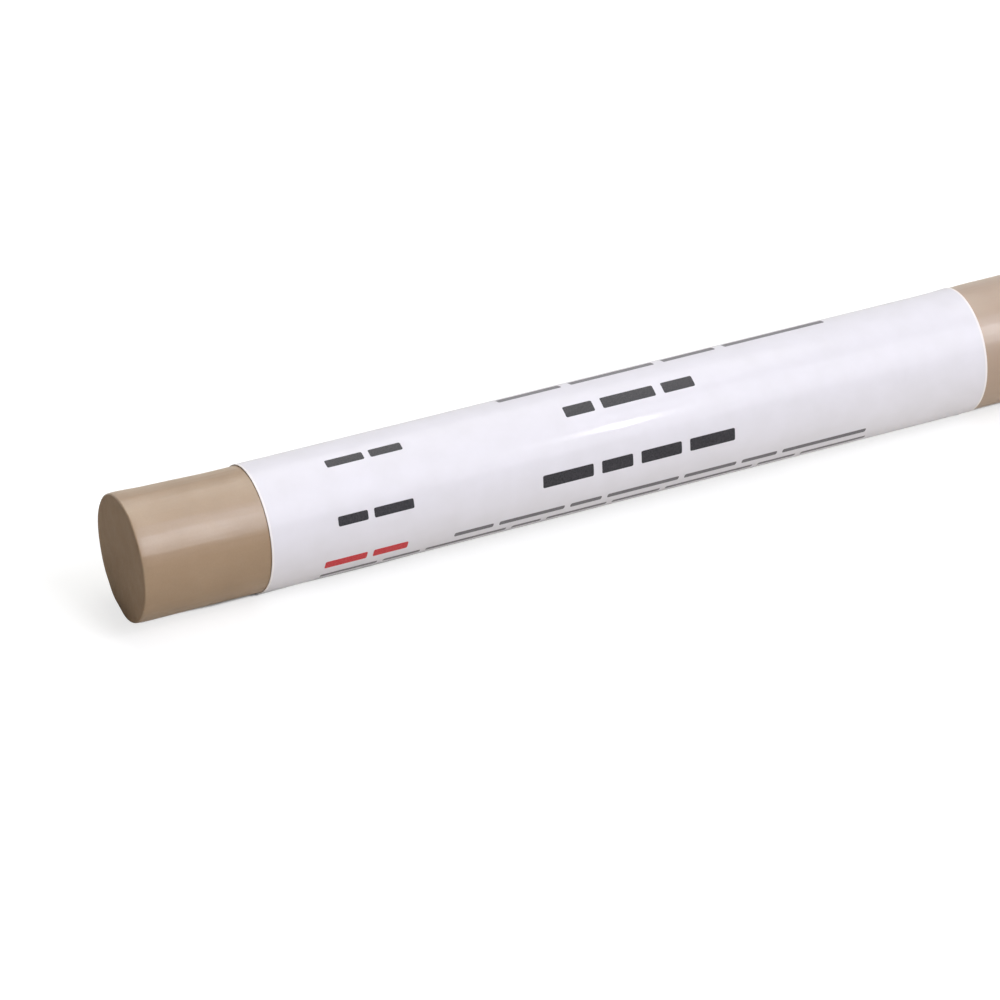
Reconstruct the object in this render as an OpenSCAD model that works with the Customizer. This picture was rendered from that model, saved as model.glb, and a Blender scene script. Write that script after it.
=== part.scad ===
// Furniture touch-up crayon: a solid stick of pigmented wax in a wrapped self-adhesive paper label.
// It lies along X as on a table top, +Z up, with the origin on the table under its middle.

/* [Wax stick] */
// Diameter of the wax stick
stick_diameter = 9.6; // [6:0.1:20]
// Length of bare wax past each end of the label
bare_end_length = 10; // [3:0.5:40]
// Radius of the soft edge around each end face
edge_radius = 0.15; // [0.05:0.05:1]

/* [Label] */
// Length of the label along the stick
label_length = 60; // [20:1:150]
// Distance around the stick that the label's outer edge laps over its inner edge
label_lap = 6; // [2:0.5:12]
// Thickness of the label's paper
paper_thickness = 0.07; // [0.05:0.01:0.2]
// Thickness of the adhesive under the paper
adhesive_thickness = 0.02; // [0.01:0.005:0.05]
// Place of the label's inner edge around the stick, in degrees from the back up towards the top
inner_edge_angle = -40; // [-70:5:60]

/* [Hidden] */
$fn = 120;

stick_radius = stick_diameter / 2;
stick_length = label_length + 2 * bare_end_length;
layer_thickness = adhesive_thickness + paper_thickness;
label_radius = stick_radius + layer_thickness;
axis_height = label_radius;
// The label leaves the stick along a tangent and lands on its own inner edge
climb_angle = acos(stick_radius / label_radius);
lap_angle = label_lap / label_radius * 180 / PI;
// Radius of the sectors that cut the label's layers, well past the label
sector_reach = 3 * label_radius;
sector_steps = 3;

// Turns a shape made around Z onto the stick's axis: angles then run from the back (+Y) up to the top
module on_stick_axis() {
    translate([0, 0, axis_height]) rotate([90, 0, 90]) children();
}

// Half of the stick's lengthwise section, with a round edge at each end
module stick_section() {
    straight_length = stick_length - 2 * edge_radius;
    face_radius = stick_radius - edge_radius;
    translate([0, -stick_length / 2]) square([face_radius, stick_length]);
    translate([0, -straight_length / 2]) square([stick_radius, straight_length]);
    for (end = [-1, 1]) translate([face_radius, end * straight_length / 2]) circle(edge_radius);
}

module ring(inner_radius, thickness) {
    difference() {
        circle(inner_radius + thickness);
        circle(inner_radius);
    }
}

// Slice of the plane around the stick's axis, between two angles
module sector(from, to) {
    rim = [
        for (step = [0 : sector_steps])
            let (angle = from + (to - from) * step / sector_steps)
            sector_reach * [cos(angle), sin(angle)]
    ];
    polygon(concat([[0, 0]], rim));
}

// Section of one layer of the label: a turn around the stick, the climb and the lap
module label_section(inner_radius, thickness) {
    difference() {
        ring(inner_radius, thickness);
        sector(0, climb_angle);
    }
    intersection() {
        translate([inner_radius, 0]) square([thickness, label_radius]);
        sector(0, climb_angle);
    }
    intersection() {
        ring(inner_radius + layer_thickness, thickness);
        sector(climb_angle, climb_angle + lap_angle);
    }
}

module label_layer(inner_radius, thickness) {
    on_stick_axis() rotate([0, 0, inner_edge_angle - climb_angle])
        linear_extrude(label_length, center = true) label_section(inner_radius, thickness);
}

module wax_stick() {
    color("tan") on_stick_axis() rotate_extrude() stick_section();
}

module label_adhesive() {
    color("ivory") label_layer(stick_radius, adhesive_thickness);
}

module label_paper() {
    color("white") label_layer(stick_radius + adhesive_thickness, paper_thickness);
}

wax_stick();
label_adhesive();
label_paper();
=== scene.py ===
"""Dresses a furniture touch-up crayon: a stick of pigmented wax in a wrapped, printed paper label."""

import logging
import math
from dataclasses import dataclass
from enum import Enum

import bmesh
import bpy
from mathutils import Matrix, Vector, noise


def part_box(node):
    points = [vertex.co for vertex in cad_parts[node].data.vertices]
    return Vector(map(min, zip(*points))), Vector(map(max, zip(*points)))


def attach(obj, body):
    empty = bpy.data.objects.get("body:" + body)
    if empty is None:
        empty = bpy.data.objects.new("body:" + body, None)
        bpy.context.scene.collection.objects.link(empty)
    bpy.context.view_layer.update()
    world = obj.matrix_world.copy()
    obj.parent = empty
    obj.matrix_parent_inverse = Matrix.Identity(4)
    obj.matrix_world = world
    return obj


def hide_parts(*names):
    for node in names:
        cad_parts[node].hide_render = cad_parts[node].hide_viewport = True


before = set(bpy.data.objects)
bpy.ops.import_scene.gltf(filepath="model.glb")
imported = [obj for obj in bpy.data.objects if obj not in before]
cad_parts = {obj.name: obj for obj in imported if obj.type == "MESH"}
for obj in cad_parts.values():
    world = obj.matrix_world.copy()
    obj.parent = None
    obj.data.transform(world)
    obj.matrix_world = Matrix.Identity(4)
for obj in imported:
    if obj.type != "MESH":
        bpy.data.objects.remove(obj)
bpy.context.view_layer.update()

MM = 0.001
BODY = "root"
SCREEN_TOP = 255
Colour = tuple[float, float, float]
Place = tuple[float, float, float]
Pair = tuple[float, float]
Stops = tuple[tuple[float, Colour], ...]
Line = list[bmesh.types.BMVert | bmesh.types.BMEdge]

log = logging.getLogger("crayon")


def linear(red: int, green: int, blue: int) -> Colour:
    """Turns a colour as seen on a screen, 0 to 255, into the linear values that shaders take.

    Args:
        red: Red part.
        green: Green part.
        blue: Blue part.

    Returns:
        The linear colour.
    """
    toe_end, toe_slope = 0.04045, 12.92
    offset, whole, power = 0.055, 1.055, 2.4
    parts = [part / SCREEN_TOP for part in (red, green, blue)]
    return tuple(
        part / toe_slope if part <= toe_end else ((part + offset) / whole) ** power for part in parts
    )


def ease(value: float, start: float, end: float) -> float:
    """Rises smoothly from 0 to 1 while a value goes from one limit to another.

    Args:
        value: Value to place between the limits.
        start: Limit where the result is 0.
        end: Limit where the result is 1.

    Returns:
        The eased share.
    """
    share = min(max((value - start) / (end - start), 0.0), 1.0)
    return share * share * (3 - 2 * share)


def finished_piece(name: str, shape: bmesh.types.BMesh, fold: float) -> bpy.types.Object:
    """Turns a closed shape into a smooth piece that rides on the crayon's one body.

    Args:
        name: Name of the piece.
        shape: Closed shape at its place in the frame; it is freed here.
        fold: Angle in radians from which an edge stays crisp.

    Returns:
        The piece, linked into the scene.
    """
    for face in shape.faces:
        face.smooth = True
    for edge in shape.edges:
        edge.smooth = edge.calc_face_angle(0.0) < fold
    mesh = bpy.data.meshes.new(name)
    shape.to_mesh(mesh)
    shape.free()
    piece = bpy.data.objects.new(name, mesh)
    bpy.context.scene.collection.objects.link(piece)
    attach(piece, BODY)
    return piece


@dataclass(frozen=True)
class Grain:
    """How fine a noise is: its spots along a millimetre, its finer layers, and its stretch by axis."""

    per_mm: float
    detail: float
    stretch: Place = (1.0, 1.0, 1.0)


class NodeBench:
    """Lays out the nodes of one material on the piece's own object coordinates."""

    noise_range: Pair = (0.3, 0.7)

    def __init__(self, name: str) -> None:
        """Starts an empty material.

        Args:
            name: Name of the material.
        """
        self.material = bpy.data.materials.new(name)
        self.material.use_nodes = True
        self.tree = self.material.node_tree
        self.surface = self.tree.nodes["Principled BSDF"]
        self.place = self.add("ShaderNodeTexCoord").outputs["Object"]

    def add(self, kind: str) -> bpy.types.Node:
        """Adds a node of one kind."""
        return self.tree.nodes.new(kind)

    def link(self, source: bpy.types.NodeSocket, target: bpy.types.NodeSocket) -> None:
        """Joins an output to an input."""
        self.tree.links.new(source, target)

    def constant(self, **values: float | Colour) -> None:
        """Sets fixed values on the surface shader.

        Args:
            values: Socket names with underscores for spaces, and their values.
        """
        for name, value in values.items():
            socket = self.surface.inputs[name.replace("_", " ")]
            socket.default_value = (*value, 1.0) if socket.type == "RGBA" else value

    def noise_map(self, grain: Grain) -> bpy.types.NodeSocket:
        """Makes noise over the piece.

        Args:
            grain: How fine the noise is.

        Returns:
            The noise, mostly inside the noise range.
        """
        mapping = self.add("ShaderNodeMapping")
        mapping.inputs["Scale"].default_value = grain.stretch
        self.link(self.place, mapping.inputs["Vector"])
        texture = self.add("ShaderNodeTexNoise")
        texture.inputs["Scale"].default_value = grain.per_mm / MM
        texture.inputs["Detail"].default_value = grain.detail
        self.link(mapping.outputs["Vector"], texture.inputs["Vector"])
        return texture.outputs["Fac"]

    def spread(self, value: bpy.types.NodeSocket, low: float, high: float) -> bpy.types.NodeSocket:
        """Spreads noise over a range.

        Args:
            value: Noise, mostly inside the noise range.
            low: Result at the noise range's low end.
            high: Result at its high end.

        Returns:
            The spread value.
        """
        node = self.add("ShaderNodeMapRange")
        node.inputs["From Min"].default_value = self.noise_range[0]
        node.inputs["From Max"].default_value = self.noise_range[1]
        node.inputs["To Min"].default_value = low
        node.inputs["To Max"].default_value = high
        self.link(value, node.inputs["Value"])
        return node.outputs["Result"]

    def along(self, start: float, end: float, most: float) -> bpy.types.NodeSocket:
        """Rises smoothly from 0 along the stick.

        Args:
            start: Place along the stick where the result is 0.
            end: Place where it is highest.
            most: Result there.

        Returns:
            The rising value.
        """
        split = self.add("ShaderNodeSeparateXYZ")
        self.link(self.place, split.inputs["Vector"])
        node = self.add("ShaderNodeMapRange")
        node.interpolation_type = "SMOOTHSTEP"
        node.inputs["From Min"].default_value = start
        node.inputs["From Max"].default_value = end
        node.inputs["To Max"].default_value = most
        self.link(split.outputs["X"], node.inputs["Value"])
        return node.outputs["Result"]

    def blend(
        self,
        share: bpy.types.NodeSocket,
        first: Colour | bpy.types.NodeSocket,
        second: Colour | bpy.types.NodeSocket,
    ) -> bpy.types.NodeSocket:
        """Blends two colours.

        Args:
            share: Share of the second colour.
            first: Colour where the share is 0.
            second: Colour where the share is 1.

        Returns:
            The blended colour.
        """
        node = self.add("ShaderNodeMix")
        node.data_type = "RGBA"
        self.link(share, node.inputs["Factor"])
        for name, colour in (("A", first), ("B", second)):
            socket = next(item for item in node.inputs if item.name == name and item.type == "RGBA")
            if isinstance(colour, bpy.types.NodeSocket):
                self.link(colour, socket)
            else:
                socket.default_value = (*colour, 1.0)
        return next(item for item in node.outputs if item.type == "RGBA")

    def emboss(self, *heights: tuple[bpy.types.NodeSocket, float]) -> None:
        """Bends the surface's normals after one or more height maps.

        Args:
            heights: Pairs of a height map and the depth in metres that it stands for.
        """
        normal = None
        for height, depth in heights:
            node = self.add("ShaderNodeBump")
            node.inputs["Distance"].default_value = depth
            self.link(height, node.inputs["Height"])
            if normal is not None:
                self.link(normal, node.inputs["Normal"])
            normal = node.outputs["Normal"]
        self.link(normal, self.surface.inputs["Normal"])


@dataclass(frozen=True)
class WaxFinish:
    """Opaque pigmented wax with a satin skin, faint clouds of pigment and fine grain, and a painted sheen
    that makes it paler and greyer towards the right end.
    """

    name: str = "pigmented_wax"
    pale: Colour = linear(164, 138, 111)
    deep: Colour = linear(155, 129, 102)
    speck: Colour = linear(145, 118, 90)
    clouds: Grain = Grain(0.35, 3.0)
    streaks: Grain = Grain(1.0, 2.0, (0.05, 1.0, 1.0))
    streak_share: float = 0.22
    streak_depth: float = 0.05 * MM
    specks: Grain = Grain(7.0, 2.0)
    speck_share: float = 0.20
    speck_depth: float = 0.0015 * MM
    skin: Grain = Grain(1.1, 3.0)
    roughness: Pair = (0.29, 0.36)
    specular: float = 0.6
    glow_share: float = 0.10
    glow_reach: Colour = (1.0, 0.6, 0.35)
    glow_scale: float = 0.8 * MM
    # Painted sheen: a paler, greyer colour blended in towards the right end stands in for white light
    # reflected off the wax there.
    painted_sheen: Colour = linear(175, 153, 136)
    painted_sheen_share: float = 0.85
    painted_sheen_from: float = 15 * MM
    painted_sheen_to: float = 31 * MM

    def material(self) -> bpy.types.Material:
        """Lays out the wax's material.

        Returns:
            The material.
        """
        bench = NodeBench(self.name)
        clouds = bench.noise_map(self.clouds)
        streaks = bench.noise_map(self.streaks)
        specks = bench.noise_map(self.specks)
        skin = bench.noise_map(self.skin)
        tone = bench.blend(bench.spread(clouds, 0.0, 1.0), self.pale, self.deep)
        tone = bench.blend(bench.spread(streaks, 0.0, self.streak_share), tone, self.deep)
        tone = bench.blend(bench.spread(specks, 0.0, self.speck_share), tone, self.speck)
        # Painted sheen: blends the colour towards the paler one along the stick's right end.
        painted_sheen = bench.along(self.painted_sheen_from, self.painted_sheen_to, self.painted_sheen_share)
        tone = bench.blend(painted_sheen, tone, self.painted_sheen)
        bench.link(tone, bench.surface.inputs["Base Color"])
        bench.link(bench.spread(skin, *self.roughness), bench.surface.inputs["Roughness"])
        bench.constant(
            Specular_IOR_Level=self.specular,
            Subsurface_Weight=self.glow_share,
            Subsurface_Radius=self.glow_reach,
            Subsurface_Scale=self.glow_scale,
        )
        bench.emboss((streaks, self.streak_depth), (specks, self.speck_depth))
        return bench.material


@dataclass(frozen=True)
class PaperFinish:
    """White coated paper with a soft gloss and a faint show of fibres."""

    name: str = "coated_paper"
    pale: Colour = linear(231, 229, 237)
    deep: Colour = linear(227, 225, 232)
    clouds: Grain = Grain(0.5, 4.0)
    fibres: Grain = Grain(6.0, 3.0, (0.35, 1.0, 1.0))
    fibre_depth: float = 0.0012 * MM
    ripple: Grain = Grain(0.45, 2.0, (0.5, 1.0, 1.0))
    ripple_depth: float = 0.01 * MM
    roughness: Pair = (0.45, 0.55)
    specular: float = 0.1
    gloss: float = 0.2
    gloss_roughness: float = 0.05

    def material(self) -> bpy.types.Material:
        """Lays out the paper's material.

        Returns:
            The material.
        """
        bench = NodeBench(self.name)
        clouds = bench.noise_map(self.clouds)
        fibres = bench.noise_map(self.fibres)
        ripple = bench.noise_map(self.ripple)
        tone = bench.blend(bench.spread(clouds, 0.0, 1.0), self.pale, self.deep)
        bench.link(tone, bench.surface.inputs["Base Color"])
        bench.link(bench.spread(fibres, *self.roughness), bench.surface.inputs["Roughness"])
        bench.constant(
            Specular_IOR_Level=self.specular, Coat_Weight=self.gloss, Coat_Roughness=self.gloss_roughness,
        )
        bench.emboss((ripple, self.ripple_depth), (fibres, self.fibre_depth))
        return bench.material


@dataclass(frozen=True)
class InkFinish:
    """Printed ink that lies a little unevenly on the paper."""

    name: str
    full: Colour
    thin: Colour
    cover: Grain = Grain(9.0, 3.0)
    cover_depth: float = 0.001 * MM
    thin_share: float = 0.8
    roughness: Pair = (0.40, 0.55)
    specular: float = 0.1
    gloss: float = 0.2
    gloss_roughness: float = 0.05

    def material(self) -> bpy.types.Material:
        """Lays out the ink's material.

        Returns:
            The material.
        """
        bench = NodeBench(self.name)
        cover = bench.noise_map(self.cover)
        tone = bench.blend(bench.spread(cover, 0.0, self.thin_share), self.full, self.thin)
        bench.link(tone, bench.surface.inputs["Base Color"])
        bench.link(bench.spread(cover, *self.roughness), bench.surface.inputs["Roughness"])
        bench.constant(
            Specular_IOR_Level=self.specular, Coat_Weight=self.gloss, Coat_Roughness=self.gloss_roughness,
        )
        bench.emboss((cover, self.cover_depth))
        return bench.material


@dataclass(frozen=True)
class AdhesiveFinish:
    """Milky label adhesive, seen only as a thin line under the paper's edges."""

    name: str = "milky_adhesive"
    clear: Colour = linear(226, 218, 198)
    dusty: Colour = linear(190, 178, 156)
    dust: Grain = Grain(3.0, 3.0)
    dust_depth: float = 0.002 * MM
    roughness: Pair = (0.25, 0.45)

    def material(self) -> bpy.types.Material:
        """Lays out the adhesive's material.

        Returns:
            The material.
        """
        bench = NodeBench(self.name)
        dust = bench.noise_map(self.dust)
        tone = bench.blend(bench.spread(dust, 0.0, 1.0), self.clear, self.dusty)
        bench.link(tone, bench.surface.inputs["Base Color"])
        bench.link(bench.spread(dust, *self.roughness), bench.surface.inputs["Roughness"])
        bench.emboss((dust, self.dust_depth))
        return bench.material


@dataclass(frozen=True)
class Waist:
    """The stick's slight waist: it is thinner under the label than at its ends, mostly up and behind."""

    depth: float = 0.07 * MM
    angle: float = math.radians(56.5)
    left: Pair = (-38.5 * MM, -30.5 * MM)
    right: Pair = (27.5 * MM, 32.5 * MM)

    def inset(self, x: float, arc: float) -> float:
        """Tells how far the surface lies inside the true cylinder.

        Args:
            x: Place along the stick.
            arc: Angle from the back up towards the top.

        Returns:
            The distance in metres.
        """
        share = ease(x, *self.left) - ease(x, *self.right)
        return self.depth * share * (1 + math.cos(arc - self.angle))


@dataclass
class WaxStick:
    """The solid stick of wax: cast round, cut off at both ends, a little uneven where it is bare."""

    middle: Vector
    length: float
    radius: float
    label_half: float
    edge_radius: float = 0.13 * MM
    sides: int = 192
    edge_steps: int = 5
    face_rings: int = 6
    ring_gap: float = 0.35 * MM
    wall_corners: int = 4
    cut_tolerance: float = 1e-7
    fold: float = math.radians(60)
    face_facing: float = 0.9
    waist: Waist = Waist()
    tuck: float = 3.0 * MM
    ripple: float = 0.02 * MM
    ripple_length: float = 3.5 * MM
    ripple_turns: float = 1.4
    ripple_gaps: Pair = (0.3 * MM, 2 * MM)
    end_reach: float = 3 * MM
    burr: float = 0.22 * MM
    burr_angle: float = math.radians(22)
    burr_power: int = 3
    rim_wear: float = 0.04 * MM
    rim_reach: float = 0.8 * MM
    rim_share: float = 0.8
    chip_turns: float = 2.6
    chip_place: float = 7.0
    chip_bias: float = 0.15
    face_wear: float = 0.03 * MM
    face_length: float = 2.2 * MM
    face_place: float = 3.0
    face_bias: float = 0.6
    left_slant: Pair = (0.043, 0.003)
    right_slant: Pair = (-0.008, 0.006)
    wall_finish: WaxFinish = WaxFinish()
    # The cut faces are rougher and less shiny than the wall; their darker colour is painted shade, as the
    # ends face away from the lamps.
    cut_painted_shade_finish: WaxFinish = WaxFinish(
        name="pigmented_wax_cut_painted_shade", pale=linear(157, 132, 109), deep=linear(149, 124, 101),
        roughness=(0.62, 0.76), specular=0.25, speck_depth=0.01 * MM,
    )

    def build(self) -> bpy.types.Object:
        """Makes the stick's mesh.

        Returns:
            The stick, in place of its CAD node.
        """
        shape = bmesh.new()
        along_x = Matrix.Translation(self.middle) @ Matrix.Rotation(math.pi / 2, 4, "Y")
        bmesh.ops.create_cone(
            shape, cap_ends=True, segments=self.sides, radius1=self.radius, radius2=self.radius,
            depth=self.length, matrix=along_x,
        )
        rims = [
            edge for edge in shape.edges
            if any(len(face.verts) > self.wall_corners for face in edge.link_faces)
        ]
        bmesh.ops.bevel(
            shape, geom=rims, offset=self.edge_radius, segments=self.edge_steps, profile=0.5,
            affect="EDGES", material=-1,
        )
        self.ring_ends(shape)
        self.ring_wall(shape)
        for vertex in shape.verts:
            vertex.co = self.worn(vertex.co)
        bmesh.ops.recalc_face_normals(shape, faces=shape.faces[:])
        for face in shape.faces:
            # End faces take the cut finish, with its painted shade.
            face.material_index = 1 if abs(face.normal.x) > self.face_facing else 0
        piece = finished_piece("wax_stick_worn", shape, self.fold)
        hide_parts("wax_stick")
        return piece

    def ring_ends(self, shape: bmesh.types.BMesh) -> None:
        """Cuts both end faces into rings around a centre point.

        Args:
            shape: Stick with plain end faces.
        """
        caps = [face for face in shape.faces if len(face.verts) > self.wall_corners]
        step = (self.radius - self.edge_radius) / (self.face_rings + 1)
        for _ in range(self.face_rings):
            bmesh.ops.inset_individual(shape, faces=caps, thickness=step, use_even_offset=True)
        bmesh.ops.poke(shape, faces=caps)

    def ring_wall(self, shape: bmesh.types.BMesh) -> None:
        """Cuts the bare part of the wall into narrow rings, so that it can be uneven.

        Args:
            shape: Stick with long wall faces.
        """
        reach = self.length / 2 - self.edge_radius
        count = int((reach - self.label_half + self.tuck) / self.ring_gap)
        for step in range(1, count + 1):
            for side in (-1, 1):
                bmesh.ops.bisect_plane(
                    shape, geom=shape.verts[:] + shape.edges[:] + shape.faces[:], dist=self.cut_tolerance,
                    plane_co=(side * (reach - step * self.ring_gap), 0, 0), plane_no=(1, 0, 0),
                )

    def worn(self, point: Vector) -> Vector:
        """Moves a point of the true stick to its place on the cast and handled one.

        Args:
            point: Point on the true stick.

        Returns:
            The moved point.
        """
        x = point.x - self.middle.x
        across = Vector((0.0, point.y - self.middle.y, point.z - self.middle.z))
        share = across.length / self.radius
        side = -1 if x < 0 else 1
        turn = across.normalized() if share > 0 else across
        half = self.length / 2
        bare = ease(abs(x), *(self.label_half + gap for gap in self.ripple_gaps))
        end = ease(abs(x), half - self.end_reach, half - self.edge_radius)
        rim = ease(abs(x), half - self.rim_reach, half) * ease(share, self.rim_share, 1.0)
        around = Vector((0.0, turn.y, turn.z))
        swell = noise.noise(Vector((x / self.ripple_length, 0.0, 0.0)) + self.ripple_turns * around)
        chipped = Vector((self.chip_place * side, 0.0, 0.0)) + self.chip_turns * around
        chip = max(0.0, noise.noise(chipped) + self.chip_bias)
        relief = noise.noise(Vector((self.face_place * side, 0.0, 0.0)) + across / self.face_length)
        slant = Vector((0.0, *(self.left_slant if side < 0 else self.right_slant)))
        facing = turn.y * math.cos(self.burr_angle) + turn.z * math.sin(self.burr_angle)
        spread = self.burr * end * max(0.0, facing) ** self.burr_power if side < 0 else 0.0
        inset = self.waist.inset(x, math.atan2(across.z, across.y))
        swollen = bare * self.ripple * swell + spread - inset - rim * chip * self.rim_wear
        across *= 1 + share * swollen / self.radius
        shift = end * (slant.dot(across) + self.face_wear * (relief - self.face_bias) * side)
        shift -= side * rim * chip * self.rim_wear
        return Vector((point.x + shift, self.middle.y + across.y, self.middle.z + across.z))

    def dress(self, piece: bpy.types.Object) -> None:
        """Gives the stick its wall and its cut faces, whose darker colour is painted shade.

        Args:
            piece: The stick.
        """
        for finish in (self.wall_finish, self.cut_painted_shade_finish):
            piece.data.materials.append(finish.material())


@dataclass(frozen=True)
class Wrinkle:
    """A low ridge in the label, where the paper did not lie down when it was wrapped."""

    x: float
    angle: float
    length: float
    width: float
    height: float
    lean: float = 0.0

    def rise(self, x: float, arc: float, radius: float) -> float:
        """Tells how far the ridge lifts the paper.

        Args:
            x: Place along the stick.
            arc: Place around the stick in radians.
            radius: Radius of the label.

        Returns:
            The lift in metres.
        """
        along = (x - self.x) / self.length
        around = ((arc - math.radians(self.angle)) * radius - self.lean * (x - self.x)) / self.width
        return self.height * math.exp(-along * along - around * around)


@dataclass
class PaperLabel:
    """The paper label: one turn around the stick, a climb over its own inner edge, and the lap."""

    middle: Vector
    length: float
    stick_radius: float
    adhesive: float = 0.02 * MM
    paper: float = 0.07 * MM
    film_margin: float = 0.02 * MM
    film_ooze: float = 0.10 * MM
    lap: float = 6.0 * MM
    inner_edge: float = math.radians(-40)
    facing: float = math.radians(146)
    skew: float = -0.0325
    cut_taper: float = 0.008
    shift: float = -0.09 * MM
    rim: float = 0.15 * MM
    along_steps: int = 110
    turn_steps: int = 150
    climb_steps: int = 4
    lap_steps: int = 30
    seam_margin: float = 1e-4
    fold: float = math.radians(40)
    waist: Waist = Waist()
    wave: float = 0.008 * MM
    wave_length: float = 7 * MM
    wave_turns: float = 2.2
    lift: float = 0.06 * MM
    lift_reach: float = 1.6 * MM
    loose_shares: Pair = (0.35, 0.65)
    loose_length: float = 6 * MM
    loose_place: float = 4.2
    corner_lift: float = 1.2
    corner_reach: float = 4 * MM
    wrinkles: tuple[Wrinkle, ...] = (
        Wrinkle(-21.0 * MM, 250, 4.0 * MM, 0.6 * MM, 0.03 * MM, 0.08),
        Wrinkle(17.0 * MM, 285, 6.0 * MM, 0.7 * MM, 0.03 * MM, -0.05),
        Wrinkle(24.0 * MM, 100, 3.0 * MM, 0.7 * MM, 0.015 * MM, 0.1),
    )
    face_finish: PaperFinish = PaperFinish()
    # Painted highlight: a paler copy of the paper on the strips along the label's ends and the lap's outer
    # edge, where the edges catch light.
    painted_highlight_finish: PaperFinish = PaperFinish(
        name="coated_paper_painted_highlight", pale=linear(247, 242, 243), deep=linear(242, 237, 238),
    )
    film_finish: AdhesiveFinish = AdhesiveFinish()

    @property
    def layer(self) -> float:
        """Thickness of paper and adhesive together."""
        return self.paper + self.adhesive

    @property
    def inner_radius(self) -> float:
        """Radius of the paper's inner side in the first turn."""
        return self.stick_radius + self.adhesive

    @property
    def outer_radius(self) -> float:
        """Radius of the paper's outer side in the first turn."""
        return self.stick_radius + self.layer

    @property
    def climb(self) -> float:
        """Angle over which the paper climbs its own inner edge."""
        return math.acos(self.stick_radius / self.outer_radius)

    @property
    def lap_angle(self) -> float:
        """Angle over which the label lies on itself."""
        return self.lap / self.outer_radius

    def build(self) -> tuple[bpy.types.Object, bpy.types.Object]:
        """Makes the meshes of the paper and of the adhesive under it.

        Returns:
            The paper and the adhesive, in place of their CAD nodes.
        """
        paper = self.wrap(
            "label_paper_wrapped", self.inner_radius, self.paper, self.length, self.lap_angle, edge_highlighted=True,
        )
        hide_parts("label_paper")
        film_length = self.length - 2 * self.film_margin
        film_lap = self.lap_angle + self.film_ooze / self.outer_radius
        adhesive = self.wrap(
            "label_adhesive_film", self.stick_radius, self.adhesive, film_length, film_lap, edge_highlighted=False,
        )
        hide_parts("label_adhesive")
        return paper, adhesive

    def wrap(
        self, name: str, radius: float, thickness: float, length: float, lap_angle: float, edge_highlighted: bool
    ) -> bpy.types.Object:
        """Wraps one layer of the label around the stick.

        Args:
            name: Name of the piece.
            radius: Radius of the layer's inner side in the first turn.
            thickness: Thickness of the layer.
            length: Length of the layer along the stick.
            lap_angle: Angle over which the layer lies on the label's first turn.
            edge_highlighted: Whether the strips along its edges get a painted highlight, a paler copy of
                the paper.

        Returns:
            The wrapped layer.
        """
        shape = bmesh.new()
        places = (-length / 2, self.rim - length / 2, length / 2 - self.rim, length / 2)
        corners = [shape.verts.new(self.on_cylinder(x, self.inner_edge, radius)) for x in places]
        edges = [shape.edges.new(pair) for pair in zip(corners, corners[1:])]
        bmesh.ops.subdivide_edges(shape, edges=[edges[1]], cuts=self.along_steps - 1)
        front = self.turned(shape, shape.verts[:] + shape.edges[:], math.tau - self.climb, self.turn_steps)
        leave = self.inner_edge - self.climb
        tangent = Vector((0, -math.sin(leave), math.cos(leave)))
        run = radius * math.tan(self.climb) / self.climb_steps
        for _ in range(self.climb_steps):
            edges = [item for item in front if isinstance(item, bmesh.types.BMEdge)]
            front = bmesh.ops.extrude_edge_only(shape, edges=edges)["geom"]
            verts = [item for item in front if isinstance(item, bmesh.types.BMVert)]
            bmesh.ops.translate(shape, verts=verts, vec=tangent * run)
            front = [item for item in front if not isinstance(item, bmesh.types.BMFace)]
        front = self.turned(shape, front, lap_angle, self.lap_steps)
        if edge_highlighted:
            self.mark_highlight_strips(shape, front, length)
        for vertex in shape.verts:
            vertex.co = self.settled(vertex.co, radius)
        bmesh.ops.recalc_face_normals(shape, faces=shape.faces[:])
        sample = shape.faces[:][0]
        outward = sample.calc_center_median() - self.middle
        if outward.yz.dot(sample.normal.yz) > 0:
            bmesh.ops.reverse_faces(shape, faces=shape.faces[:])
        bmesh.ops.solidify(shape, geom=shape.faces[:], thickness=thickness)
        bmesh.ops.recalc_face_normals(shape, faces=shape.faces[:])
        return finished_piece(name, shape, self.fold)

    def mark_highlight_strips(self, shape: bmesh.types.BMesh, front: Line, length: float) -> None:
        """Picks out the strips along the layer's ends and along the lap's outer edge for a painted
        highlight.

        Args:
            shape: Layer before it is skewed.
            front: Vertices and edges of the lap's outer edge.
            length: Length of the layer along the stick.
        """
        edges = [item for item in front if isinstance(item, bmesh.types.BMEdge)]
        at_lap = {face for edge in edges for face in edge.link_faces}
        for face in shape.faces:
            at_end = abs(face.calc_center_median().x - self.middle.x) > length / 2 - self.rim
            # Index 1 is the paler paper of the painted edge highlight.
            face.material_index = 1 if at_end or face in at_lap else 0

    def turned(self, shape: bmesh.types.BMesh, front: Line, angle: float, steps: int) -> Line:
        """Spins a line of edges around the stick's axis.

        Args:
            shape: Label so far.
            front: Vertices and edges of the line.
            angle: Angle of the turn.
            steps: Number of steps in it.

        Returns:
            The line at the end of the turn.
        """
        spun = bmesh.ops.spin(
            shape, geom=front, cent=self.middle, axis=(1, 0, 0), angle=angle, steps=steps,
            use_merge=False, use_duplicate=False,
        )
        return spun["geom_last"]

    def on_cylinder(self, x: float, arc: float, radius: float) -> Vector:
        """Places a point around the stick's axis.

        Args:
            x: Place along the stick.
            arc: Angle from the back up towards the top.
            radius: Distance from the axis.

        Returns:
            The point.
        """
        return self.middle + Vector((x, radius * math.cos(arc), radius * math.sin(arc)))

    def slid(self, x: float, arc: float) -> float:
        """Moves a place along the stick to where the skew wrap puts it.

        Args:
            x: Place along the true label.
            arc: Unrolled angle.

        Returns:
            The place along the stick.
        """
        skew = self.skew - self.cut_taper * x / (self.length / 2)
        return x + self.shift + skew * self.outer_radius * (arc - self.facing)

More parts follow.
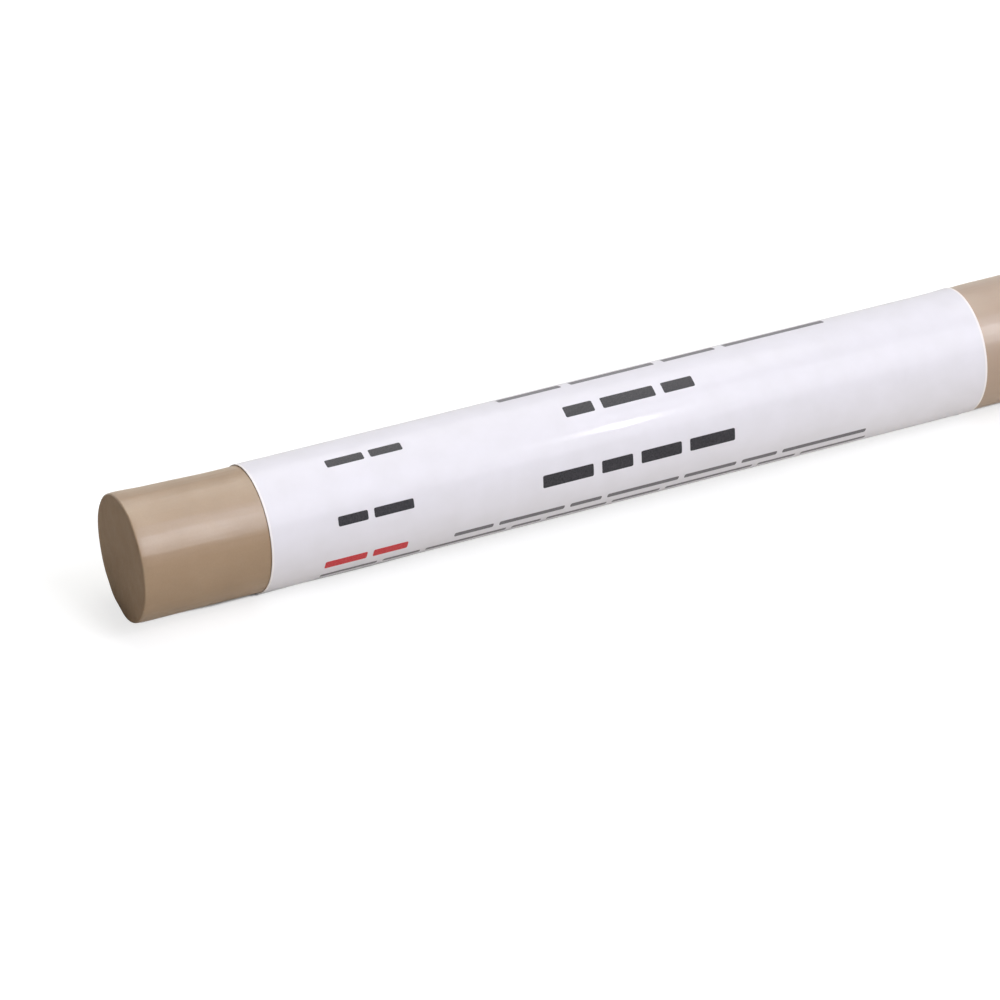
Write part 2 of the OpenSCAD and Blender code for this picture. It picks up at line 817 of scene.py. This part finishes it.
    def relief(self, x: float, arc: float) -> float:
        """Tells how far the paper stands off its true place.

        Args:
            x: Place along the stick.
            arc: Unrolled angle, which goes on past a full turn in the lap.

        Returns:
            The distance in metres.
        """
        turns = self.wave_turns * Vector((0.0, math.cos(arc), math.sin(arc)))
        wave = self.wave * noise.noise(Vector((x / self.wave_length, 0.0, 0.0)) + turns)
        rise = sum(wrinkle.rise(x, arc, self.outer_radius) for wrinkle in self.wrinkles)
        outer_edge = self.inner_edge + math.tau + self.lap_angle
        edge_gap = (outer_edge - arc) * self.outer_radius
        least, more = self.loose_shares
        loose = least + more * abs(noise.noise(Vector((x / self.loose_length, self.loose_place, 0.0))))
        corner = 1 + self.corner_lift * ease(x, self.length / 2 - self.corner_reach, self.length / 2)
        open_edge = self.lift * loose * corner * (1 - ease(edge_gap, 0.0, self.lift_reach))
        return wave + rise + open_edge - self.waist.inset(x, arc)

    def settled(self, point: Vector, first_radius: float) -> Vector:
        """Moves a point of a true layer to its place on the hand-wrapped one.

        Args:
            point: Point on the inner side of the true layer.
            first_radius: Radius of that side in the first turn.

        Returns:
            The moved point.
        """
        across = point - self.middle
        radius = across.yz.length
        start = self.inner_edge - self.seam_margin
        arc = (math.atan2(across.z, across.y) - start) % math.tau + start
        if radius > first_radius + self.layer / 2 and arc < self.inner_edge + math.pi:
            arc += math.tau
        return self.on_cylinder(self.slid(across.x, arc), arc, radius + self.relief(across.x, arc))

    def printed(self, x: float, arc: float, height: float) -> Vector:
        """Places a point of the print on the label's outer side.

        Args:
            x: Place along the label.
            arc: Angle from the back up towards the top.
            height: Height over the paper.

        Returns:
            The point.
        """
        return self.on_cylinder(self.slid(x, arc), arc, self.outer_radius + self.relief(x, arc) + height)

    def dress(self, paper: bpy.types.Object, adhesive: bpy.types.Object) -> None:
        """Gives both layers of the label their finishes.

        Args:
            paper: The paper.
            adhesive: The adhesive.
        """
        for finish in (self.face_finish, self.painted_highlight_finish):
            paper.data.materials.append(finish.material())
        adhesive.data.materials.append(self.film_finish.material())


class Ink(Enum):
    """The inks on the label, each with its finish."""

    DARK = InkFinish("label_ink_dark", linear(46, 45, 50), linear(70, 69, 74))
    RED = InkFinish("label_ink_red", linear(196, 42, 50), linear(210, 84, 88))
    GREY = InkFinish("label_ink_grey", linear(104, 102, 108), linear(132, 130, 136))


@dataclass(frozen=True)
class PrintRow:
    """A row of plain bars that stands where a label carries wording."""

    ink: Ink
    start: float
    angle: float
    height: float
    gap: float
    words: tuple[float, ...]


@dataclass
class LabelPrint:
    """The label's print: plain bars in three inks, with no wording."""

    label: PaperLabel
    corner: float = 0.12 * MM
    corner_steps: int = 3
    fold: float = math.radians(40)
    cut_tolerance: float = 1e-8
    sunk: float = 0.004 * MM
    proud: float = 0.006 * MM
    cut_around: float = 0.3 * MM
    cut_along: float = 1.0 * MM
    rows: tuple[PrintRow, ...] = (
        PrintRow(Ink.GREY, -9.0, 72, 0.80, 0.8, (5.2, 7.0, 4.4, 8.6)),
        PrintRow(Ink.DARK, -24.2, 106, 0.75, 0.5, (3.0, 2.6)),
        PrintRow(Ink.DARK, -5.0, 114, 1.00, 0.7, (2.4, 4.4, 2.6)),
        PrintRow(Ink.DARK, -24.6, 161, 0.75, 0.5, (2.4, 3.2)),
        PrintRow(Ink.DARK, -8.0, 172, 1.00, 0.7, (4.2, 2.6, 3.4, 3.8)),
        PrintRow(Ink.RED, -25.6, 203, 0.75, 0.5, (3.4, 2.8)),
        PrintRow(Ink.GREY, -15.0, 207, 0.45, 0.5, (3.2, 5.4, 2.6, 6.0, 4.4, 3.0, 7.2)),
        PrintRow(Ink.GREY, -25.6, 222, 0.45, 0.5, (4.6, 3.0, 6.6, 2.4, 5.0, 4.0, 7.4, 3.2, 5.6)),
        PrintRow(Ink.GREY, -25.6, 237, 0.45, 0.5, (3.4, 5.8, 4.2, 2.8, 6.4, 3.6, 5.2, 4.6)),
        PrintRow(Ink.GREY, -25.6, 252, 0.45, 0.5, (5.4, 2.6, 4.8, 6.2, 3.0)),
    )

    def build(self) -> dict[Ink, bpy.types.Object]:
        """Makes one mesh for each ink.

        Returns:
            The printed pieces by ink.
        """
        pieces = {}
        for ink in Ink:
            shape = bmesh.new()
            for row in self.rows:
                if row.ink is ink:
                    self.lay_row(shape, row)
            self.bend(shape)
            piece = finished_piece(ink.value.name.replace("ink", "print"), shape, self.fold)
            pieces[ink] = piece
        return pieces

    def lay_row(self, shape: bmesh.types.BMesh, row: PrintRow) -> None:
        """Adds a row's bars to the flat print.

        Args:
            shape: Flat print so far.
            row: Row to add.
        """
        left = row.start * MM
        around = math.radians(row.angle) * self.label.outer_radius
        for word in row.words:
            middle = Matrix.Translation((left + word * MM / 2, around, 0))
            size = Matrix.Diagonal((word * MM, row.height * MM, 1, 1))
            bar = bmesh.ops.create_grid(shape, x_segments=1, y_segments=1, size=0.5, matrix=middle @ size)
            bmesh.ops.bevel(
                shape, geom=bar["verts"], offset=self.corner, segments=self.corner_steps, profile=0.5,
                affect="VERTICES", material=-1,
            )
            left += (word + row.gap) * MM

    def bend(self, shape: bmesh.types.BMesh) -> None:
        """Cuts the flat print finely, gives it its thickness and bends it on to the label.

        Args:
            shape: Flat print.
        """
        radius = self.label.outer_radius
        for normal, step, reach in (
            (Vector((1, 0, 0)), self.cut_along, self.label.length / 2),
            (Vector((0, 1, 0)), self.cut_around, math.tau * radius),
        ):
            count = int(reach / step)
            for place in range(-count, count + 1):
                bmesh.ops.bisect_plane(
                    shape, geom=shape.verts[:] + shape.edges[:] + shape.faces[:], dist=self.cut_tolerance,
                    plane_co=normal * (place * step), plane_no=normal,
                )
        bmesh.ops.recalc_face_normals(shape, faces=shape.faces[:])
        bmesh.ops.solidify(shape, geom=shape.faces[:], thickness=self.sunk + self.proud)
        top = max(vertex.co.z for vertex in shape.verts)
        for vertex in shape.verts:
            height = vertex.co.z - top + self.proud
            vertex.co = self.label.printed(vertex.co.x, vertex.co.y / radius, height)
        shape.normal_update()
        bmesh.ops.recalc_face_normals(shape, faces=shape.faces[:])

    def dress(self, pieces: dict[Ink, bpy.types.Object]) -> None:
        """Gives each printed piece its ink.

        Args:
            pieces: The printed pieces by ink.
        """
        for ink, piece in pieces.items():
            piece.data.materials.append(ink.value.material())


@dataclass(frozen=True)
class Softbox:
    """A soft rectangular lamp that faces the line of the crayon from one height."""

    name: str
    elevation: float
    right: float
    distance: float
    size: Pair
    radiance: float
    tint: Colour = (1.0, 1.0, 1.0)

    def build(self) -> bpy.types.Object:
        """Hangs the lamp.

        Returns:
            The lamp.
        """
        height = math.radians(self.elevation)
        lamp = bpy.data.lights.new(self.name, "AREA")
        lamp.shape = "RECTANGLE"
        lamp.size, lamp.size_y = self.size
        lamp.energy = math.pi * self.radiance * self.size[0] * self.size[1]
        lamp.color = self.tint
        holder = bpy.data.objects.new(self.name, lamp)
        holder.location = (self.right, -self.distance * math.cos(height), self.distance * math.sin(height))
        holder.rotation_euler = (math.pi / 2 - height, 0.0, 0.0)
        bpy.context.scene.collection.objects.link(holder)
        return holder


@dataclass
class Studio:
    """The white table, the lamps and the camera."""

    floor_half: float = 4.0
    # Painted light: the floor's colour for bounced and reflected light, lighter towards the right, so that
    # more light comes up on the crayon's right half.
    floor_painted_light: Stops = (
        (-25 * MM, (0.785, 0.765, 0.70)),
        (20 * MM, (0.848, 0.826, 0.756)),
    )
    floor_seen: Colour = (0.37, 0.37, 0.37)
    floor_glow: float = 0.74
    floor_mirrored: float = 0.05
    # Painted contact shadow: how far the floor looks for something close above it, along the crayon.
    contact_shadow_reaches: tuple[Pair, ...] = (
        (-39.8 * MM, 0.0 * MM),
        (-39.2 * MM, 0.34 * MM),
        (-36.0 * MM, 0.36 * MM),
        (-33.5 * MM, 0.42 * MM),
        (-30.5 * MM, 0.42 * MM),
        (-30.0 * MM, 0.345 * MM),
        (-29.0 * MM, 0.33 * MM),
        (-26.5 * MM, 0.295 * MM),
        (29.0 * MM, 0.295 * MM),
        (30.3 * MM, 0.39 * MM),
        (40.0 * MM, 0.39 * MM),
    )
    contact_shadow_shares: Pair = (0.45, 0.80)
    sky_bright: float = 0.25
    sky_dim: float = 0.05
    sky_turn: Pair = (-0.7, 0.1)
    camera_place: Place = (-170.62 * MM, -327.39 * MM, 221.64 * MM)
    camera_yaw: float = 0.45768
    camera_pitch: float = 0.54222
    lens: float = 204.86
    sensor: float = 36.0
    clip: float = 0.01
    lamps: tuple[Softbox, ...] = (
        Softbox("front_softbox", 51.0, 1.22, 2.80, (1.44, 2.48), 5.2, (1.0, 1.0, 1.07)),
        Softbox("top_softbox", 108.0, 0.78, 2.80, (1.20, 3.50), 3.65, (1.0, 0.99, 0.94)),
        Softbox("band_softbox", 52.0, 1.37, 2.72, (0.96, 0.50), 1.7),
        Softbox("strip_lamp", 51.0, 1.15, 2.64, (0.034, 0.46), 66.0),
        Softbox("end_lamp", 54.0, 1.49, 2.64, (0.18, 0.11), 70.0),
    )

    def build(self) -> None:
        """Sets up the floor, the lamps, the sky and the camera."""
        self.lay_floor()
        for lamp in self.lamps:
            lamp.build()
        self.light_sky()
        self.set_camera()
        bpy.context.scene.view_settings.view_transform = "Standard"

    def any_ray(self, tree: bpy.types.NodeTree, *kinds: str) -> bpy.types.NodeSocket:
        """Tells whether a ray is of one of some kinds.

        Args:
            tree: Node tree to work in.
            kinds: Kinds of rays, such as Camera.

        Returns:
            1 for rays of these kinds, otherwise 0.
        """
        path = tree.nodes.new("ShaderNodeLightPath")
        result = path.outputs[f"Is {kinds[0]} Ray"]
        for kind in kinds[1:]:
            node = tree.nodes.new("ShaderNodeMath")
            node.operation = "MAXIMUM"
            tree.links.new(result, node.inputs[0])
            tree.links.new(path.outputs[f"Is {kind} Ray"], node.inputs[1])
            result = node.outputs["Value"]
        return result

    def glow_with_painted_contact_shadow(self, tree: bpy.types.NodeTree, glow: float) -> bpy.types.NodeSocket:
        """Paints a contact shadow: takes a glow away where something lies close over the floor.

        Args:
            tree: Node tree to work in.
            glow: Strength of the glow on the open floor.

        Returns:
            The strength of the glow.
        """
        cover = tree.nodes.new("ShaderNodeAmbientOcclusion")
        reach = self.along(tree, tuple((place, (size, size, size)) for place, size in self.contact_shadow_reaches))
        tree.links.new(reach, cover.inputs["Distance"])
        ramp = tree.nodes.new("ShaderNodeMapRange")
        ramp.inputs["From Min"].default_value = self.contact_shadow_shares[0]
        ramp.inputs["From Max"].default_value = self.contact_shadow_shares[1]
        ramp.inputs["To Max"].default_value = glow
        tree.links.new(cover.outputs["AO"], ramp.inputs["Value"])
        return ramp.outputs["Result"]

    def along(self, tree: bpy.types.NodeTree, stops: Stops) -> bpy.types.NodeSocket:
        """Makes a colour that changes along the crayon.

        Args:
            tree: Node tree to work in.
            stops: Places from left to right, and the colour at each.

        Returns:
            The colour.
        """
        left, right = stops[0][0], stops[-1][0]
        place = tree.nodes.new("ShaderNodeTexCoord")
        split = tree.nodes.new("ShaderNodeSeparateXYZ")
        share = tree.nodes.new("ShaderNodeMapRange")
        share.inputs["From Min"].default_value = left
        share.inputs["From Max"].default_value = right
        ramp = tree.nodes.new("ShaderNodeValToRGB")
        for stop, _ in stops[1:-1]:
            ramp.color_ramp.elements.new((stop - left) / (right - left))
        for element, (_, colour) in zip(ramp.color_ramp.elements, stops):
            element.color = (*colour, 1.0)
        tree.links.new(place.outputs["Object"], split.inputs["Vector"])
        tree.links.new(split.outputs["X"], share.inputs["Value"])
        tree.links.new(share.outputs["Result"], ramp.inputs["Fac"])
        return ramp.outputs["Color"]

    def glowing(
        self,
        tree: bpy.types.NodeTree,
        colour: Colour | bpy.types.NodeSocket,
        glow: float | bpy.types.NodeSocket,
    ) -> bpy.types.NodeSocket:
        """Makes a pale surface that also glows a little.

        Args:
            tree: Node tree to work in.
            colour: Share of each light that it throws back, fixed or worked out.
            glow: Strength of its own light, fixed or worked out.

        Returns:
            The shader.
        """
        diffuse = tree.nodes.new("ShaderNodeBsdfDiffuse")
        if isinstance(colour, bpy.types.NodeSocket):
            tree.links.new(colour, diffuse.inputs["Color"])
        else:
            diffuse.inputs["Color"].default_value = (*colour, 1.0)
        light = tree.nodes.new("ShaderNodeEmission")
        if isinstance(glow, bpy.types.NodeSocket):
            tree.links.new(glow, light.inputs["Strength"])
        else:
            light.inputs["Strength"].default_value = glow
        both = tree.nodes.new("ShaderNodeAddShader")
        tree.links.new(diffuse.outputs["BSDF"], both.inputs[0])
        tree.links.new(light.outputs["Emission"], both.inputs[1])
        return both.outputs["Shader"]

    def choose(
        self,
        tree: bpy.types.NodeTree,
        share: bpy.types.NodeSocket,
        first: bpy.types.NodeSocket,
        second: bpy.types.NodeSocket,
    ) -> bpy.types.NodeSocket:
        """Chooses between two shaders.

        Args:
            tree: Node tree to work in.
            share: 0 for the first shader, 1 for the second.
            first: First shader.
            second: Second shader.

        Returns:
            The chosen shader.
        """
        mix = tree.nodes.new("ShaderNodeMixShader")
        tree.links.new(share, mix.inputs["Fac"])
        tree.links.new(first, mix.inputs[1])
        tree.links.new(second, mix.inputs[2])
        return mix.outputs["Shader"]

    def lay_floor(self) -> None:
        """Lays a white floor that keeps the crayon's soft shadow, with a painted contact shadow close under
        it and painted light bounced up more brightly on the right.
        """
        shape = bmesh.new()
        bmesh.ops.create_grid(shape, x_segments=1, y_segments=1, size=self.floor_half)
        mesh = bpy.data.meshes.new("floor")
        shape.to_mesh(mesh)
        shape.free()
        floor = bpy.data.objects.new("floor", mesh)
        bpy.context.scene.collection.objects.link(floor)
        material = bpy.data.materials.new("white_floor")
        material.use_nodes = True
        tree = material.node_tree
        tree.nodes.clear()
        # Painted light from below, brighter towards the right.
        tone = self.along(tree, self.floor_painted_light)
        bounce = self.glowing(tree, tone, 0.0)
        mirrored = self.glowing(tree, tone, self.floor_mirrored)
        # The floor as seen has a painted contact shadow under the crayon.
        viewed = self.glowing(tree, self.floor_seen, self.glow_with_painted_contact_shadow(tree, self.floor_glow))
        surface = self.choose(tree, self.any_ray(tree, "Glossy", "Transmission"), bounce, mirrored)
        surface = self.choose(tree, self.any_ray(tree, "Camera"), surface, viewed)
        output = tree.nodes.new("ShaderNodeOutputMaterial")
        tree.links.new(surface, output.inputs["Surface"])
        mesh.materials.append(material)

    def light_sky(self) -> None:
        """Lights the room softly from all sides but the left, and shows it white."""
        world = bpy.data.worlds.new("white_room")
        bpy.context.scene.world = world
        world.use_nodes = True
        tree = world.node_tree
        tree.nodes.clear()
        direction = tree.nodes.new("ShaderNodeTexCoord")
        split = tree.nodes.new("ShaderNodeSeparateXYZ")
        ramp = tree.nodes.new("ShaderNodeMapRange")
        ramp.interpolation_type = "SMOOTHSTEP"
        ramp.inputs["From Min"].default_value = self.sky_turn[0]
        ramp.inputs["From Max"].default_value = self.sky_turn[1]
        ramp.inputs["To Min"].default_value = self.sky_dim
        ramp.inputs["To Max"].default_value = self.sky_bright
        light = tree.nodes.new("ShaderNodeBackground")
        white = tree.nodes.new("ShaderNodeBackground")
        for background in (light, white):
            background.inputs["Color"].default_value = (1.0, 1.0, 1.0, 1.0)
        output = tree.nodes.new("ShaderNodeOutputWorld")
        tree.links.new(direction.outputs["Generated"], split.inputs["Vector"])
        tree.links.new(split.outputs["X"], ramp.inputs["Value"])
        tree.links.new(ramp.outputs["Result"], light.inputs["Strength"])
        shown = self.any_ray(tree, "Camera", "Glossy", "Transmission")
        surface = self.choose(tree, shown, light.outputs["Background"], white.outputs["Background"])
        tree.links.new(surface, output.inputs["Surface"])

    def set_camera(self) -> None:
        """Stands the camera where the photo was taken from."""
        camera = bpy.data.cameras.new("photo_camera")
        camera.lens = self.lens
        camera.sensor_width = self.sensor
        camera.clip_start = self.clip
        holder = bpy.data.objects.new("photo_camera", camera)
        holder.location = self.camera_place
        holder.rotation_euler = (math.pi / 2 - self.camera_pitch, 0.0, -self.camera_yaw)
        bpy.context.scene.collection.objects.link(holder)
        bpy.context.scene.camera = holder


def main() -> None:
    """Builds and dresses the pieces in order."""
    logging.basicConfig(level=logging.INFO, format="%(message)s")
    stick_low, stick_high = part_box("wax_stick")
    label_low, label_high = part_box("label_paper")
    middle = Vector((0.0, 0.0, (stick_low.z + stick_high.z) / 2))
    radius = (stick_high.z - stick_low.z) / 2
    label_length = label_high.x - label_low.x

    stick = WaxStick(middle, stick_high.x - stick_low.x, radius, label_length / 2)
    stick_piece = stick.build()
    stick.dress(stick_piece)
    log.info("%s: %d faces", stick_piece.name, len(stick_piece.data.polygons))

    label = PaperLabel(middle, label_length, radius)
    label_pieces = label.build()
    label.dress(*label_pieces)
    for piece in label_pieces:
        log.info("%s: %d faces", piece.name, len(piece.data.polygons))

    printing = LabelPrint(label)
    print_pieces = printing.build()
    printing.dress(print_pieces)
    for piece in print_pieces.values():
        log.info("%s: %d faces", piece.name, len(piece.data.polygons))

    Studio().build()


if __name__ == "__main__":
    main()
